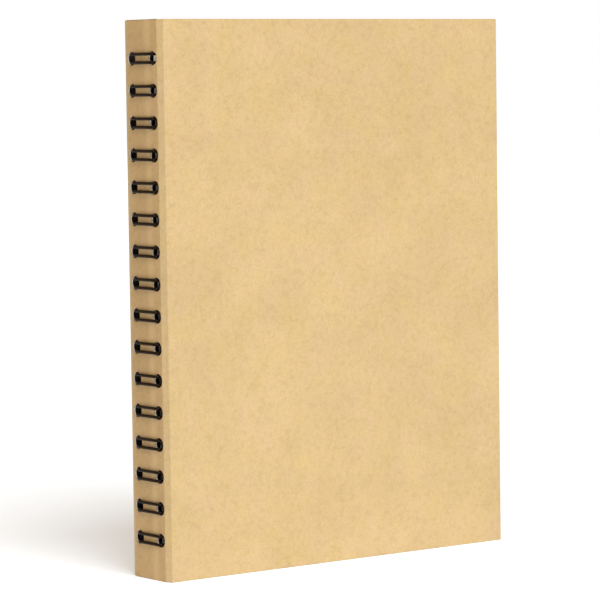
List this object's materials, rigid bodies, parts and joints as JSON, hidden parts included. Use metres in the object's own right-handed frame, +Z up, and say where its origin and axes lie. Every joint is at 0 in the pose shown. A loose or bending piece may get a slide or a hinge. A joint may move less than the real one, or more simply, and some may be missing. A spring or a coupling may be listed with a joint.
{
  "type": "sketchbook",
  "caption": "Hardcover sketchbook in plain kraft wrap, standing upright, with a black twin-loop wire binding through a punched flat spine, hinged covers and turning leaves.",
  "frame": {"origin": "middle of the footprint, on the surface the closed book stands on", "axes": "+Z up along the height of the book, +X from the spine to the fore edge, +Y from the front cover to the back cover"},
  "size_m": [0.1733, 0.027, 0.222],
  "materials": {
    "kraft_wrap": "smooth matt kraft paper, faintly mottled",
    "grey_board": "raw binder's board",
    "lining_paper": "matt charcoal endpaper",
    "drawing_paper": "lightly toothed drawing paper",
    "black_wire": "gloss black coated steel wire"
  },
  "bodies": {
    "spine": {"spine_board": "grey_board", "spine_wrap": "kraft_wrap", "spine_lining": "lining_paper", "twin_loop_wire": "black_wire"},
    "front_cover": {"front_cover_board": "grey_board", "front_cover_wrap": "kraft_wrap", "front_cover_lining": "lining_paper"},
    "back_cover": {"back_cover_board": "grey_board", "back_cover_wrap": "kraft_wrap", "back_cover_lining": "lining_paper"},
    "leaf_01": {"leaf_01": "drawing_paper"},
    "leaf_02": {"leaf_02": "drawing_paper"},
    "leaf_03": {"leaf_03": "drawing_paper"},
    "leaf_04": {"leaf_04": "drawing_paper"},
    "leaf_05": {"leaf_05": "drawing_paper"},
    "leaf_06": {"leaf_06": "drawing_paper"},
    "leaf_07": {"leaf_07": "drawing_paper"},
    "leaf_08": {"leaf_08": "drawing_paper"},
    "leaf_09": {"leaf_09": "drawing_paper"},
    "leaf_10": {"leaf_10": "drawing_paper"},
    "leaf_11": {"leaf_11": "drawing_paper"},
    "leaf_12": {"leaf_12": "drawing_paper"},
    "leaf_13": {"leaf_13": "drawing_paper"},
    "leaf_14": {"leaf_14": "drawing_paper"},
    "leaf_15": {"leaf_15": "drawing_paper"},
    "leaf_16": {"leaf_16": "drawing_paper"},
    "leaf_17": {"leaf_17": "drawing_paper"},
    "leaf_18": {"leaf_18": "drawing_paper"},
    "leaf_19": {"leaf_19": "drawing_paper"},
    "leaf_20": {"leaf_20": "drawing_paper"}
  },
  "joints": [
    {"name": "front_cover_hinge", "type": "hinge", "parent": "spine", "child": "front_cover", "pos_m": [-0.08535, -0.01062, 0], "axis": [0, 0, -1], "range_deg": [0, 180]},
    {"name": "back_cover_hinge", "type": "hinge", "parent": "spine", "child": "back_cover", "pos_m": [-0.08535, 0.01062, 0], "axis": [0, 0, 1], "range_deg": [0, 180]},
    {"name": "leaf_01_turn", "type": "hinge", "parent": "spine", "child": "leaf_01", "pos_m": [-0.0743, 0, 0], "axis": [0, 0, -1], "range_deg": [0, 90]},
    {"name": "leaf_02_turn", "type": "hinge", "parent": "spine", "child": "leaf_02", "pos_m": [-0.0743, 0, 0], "axis": [0, 0, -1], "range_deg": [0, 90]},
    {"name": "leaf_03_turn", "type": "hinge", "parent": "spine", "child": "leaf_03", "pos_m": [-0.0743, 0, 0], "axis": [0, 0, -1], "range_deg": [0, 90]},
    {"name": "leaf_04_turn", "type": "hinge", "parent": "spine", "child": "leaf_04", "pos_m": [-0.0743, 0, 0], "axis": [0, 0, -1], "range_deg": [0, 90]},
    {"name": "leaf_05_turn", "type": "hinge", "parent": "spine", "child": "leaf_05", "pos_m": [-0.0743, 0, 0], "axis": [0, 0, -1], "range_deg": [0, 90]},
    {"name": "leaf_06_turn", "type": "hinge", "parent": "spine", "child": "leaf_06", "pos_m": [-0.0743, 0, 0], "axis": [0, 0, -1], "range_deg": [0, 90]},
    {"name": "leaf_07_turn", "type": "hinge", "parent": "spine", "child": "leaf_07", "pos_m": [-0.0743, 0, 0], "axis": [0, 0, -1], "range_deg": [0, 90]},
    {"name": "leaf_08_turn", "type": "hinge", "parent": "spine", "child": "leaf_08", "pos_m": [-0.0743, 0, 0], "axis": [0, 0, -1], "range_deg": [0, 90]},
    {"name": "leaf_09_turn", "type": "hinge", "parent": "spine", "child": "leaf_09", "pos_m": [-0.0743, 0, 0], "axis": [0, 0, -1], "range_deg": [0, 90]},
    {"name": "leaf_10_turn", "type": "hinge", "parent": "spine", "child": "leaf_10", "pos_m": [-0.0743, 0, 0], "axis": [0, 0, -1], "range_deg": [0, 90]},
    {"name": "leaf_11_turn", "type": "hinge", "parent": "spine", "child": "leaf_11", "pos_m": [-0.0743, 0, 0], "axis": [0, 0, -1], "range_deg": [0, 90]},
    {"name": "leaf_12_turn", "type": "hinge", "parent": "spine", "child": "leaf_12", "pos_m": [-0.0743, 0, 0], "axis": [0, 0, -1], "range_deg": [0, 90]},
    {"name": "leaf_13_turn", "type": "hinge", "parent": "spine", "child": "leaf_13", "pos_m": [-0.0743, 0, 0], "axis": [0, 0, -1], "range_deg": [0, 90]},
    {"name": "leaf_14_turn", "type": "hinge", "parent": "spine", "child": "leaf_14", "pos_m": [-0.0743, 0, 0], "axis": [0, 0, -1], "range_deg": [0, 90]},
    {"name": "leaf_15_turn", "type": "hinge", "parent": "spine", "child": "leaf_15", "pos_m": [-0.0743, 0, 0], "axis": [0, 0, -1], "range_deg": [0, 90]},
    {"name": "leaf_16_turn", "type": "hinge", "parent": "spine", "child": "leaf_16", "pos_m": [-0.0743, 0, 0], "axis": [0, 0, -1], "range_deg": [0, 90]},
    {"name": "leaf_17_turn", "type": "hinge", "parent": "spine", "child": "leaf_17", "pos_m": [-0.0743, 0, 0], "axis": [0, 0, -1], "range_deg": [0, 90]},
    {"name": "leaf_18_turn", "type": "hinge", "parent": "spine", "child": "leaf_18", "pos_m": [-0.0743, 0, 0], "axis": [0, 0, -1], "range_deg": [0, 90]},
    {"name": "leaf_19_turn", "type": "hinge", "parent": "spine", "child": "leaf_19", "pos_m": [-0.0743, 0, 0], "axis": [0, 0, -1], "range_deg": [0, 90]},
    {"name": "leaf_20_turn", "type": "hinge", "parent": "spine", "child": "leaf_20", "pos_m": [-0.0743, 0, 0], "axis": [0, 0, -1], "range_deg": [0, 90]}
  ],
  "couplings": [
    {"joint": "leaf_01_turn", "follows": "front_cover_hinge", "ratio": 0.5},
    {"joint": "leaf_02_turn", "follows": "front_cover_hinge", "ratio": 0.475},
    {"joint": "leaf_03_turn", "follows": "front_cover_hinge", "ratio": 0.45},
    {"joint": "leaf_04_turn", "follows": "front_cover_hinge", "ratio": 0.425},
    {"joint": "leaf_05_turn", "follows": "front_cover_hinge", "ratio": 0.4},
    {"joint": "leaf_06_turn", "follows": "front_cover_hinge", "ratio": 0.375},
    {"joint": "leaf_07_turn", "follows": "front_cover_hinge", "ratio": 0.35},
    {"joint": "leaf_08_turn", "follows": "front_cover_hinge", "ratio": 0.325},
    {"joint": "leaf_09_turn", "follows": "front_cover_hinge", "ratio": 0.3},
    {"joint": "leaf_10_turn", "follows": "front_cover_hinge", "ratio": 0.275},
    {"joint": "leaf_11_turn", "follows": "front_cover_hinge", "ratio": 0.25},
    {"joint": "leaf_12_turn", "follows": "front_cover_hinge", "ratio": 0.225},
    {"joint": "leaf_13_turn", "follows": "front_cover_hinge", "ratio": 0.2},
    {"joint": "leaf_14_turn", "follows": "front_cover_hinge", "ratio": 0.175},
    {"joint": "leaf_15_turn", "follows": "front_cover_hinge", "ratio": 0.15},
    {"joint": "leaf_16_turn", "follows": "front_cover_hinge", "ratio": 0.125},
    {"joint": "leaf_17_turn", "follows": "front_cover_hinge", "ratio": 0.1},
    {"joint": "leaf_18_turn", "follows": "front_cover_hinge", "ratio": 0.075},
    {"joint": "leaf_19_turn", "follows": "front_cover_hinge", "ratio": 0.05},
    {"joint": "leaf_20_turn", "follows": "front_cover_hinge", "ratio": 0.025}
  ]
}
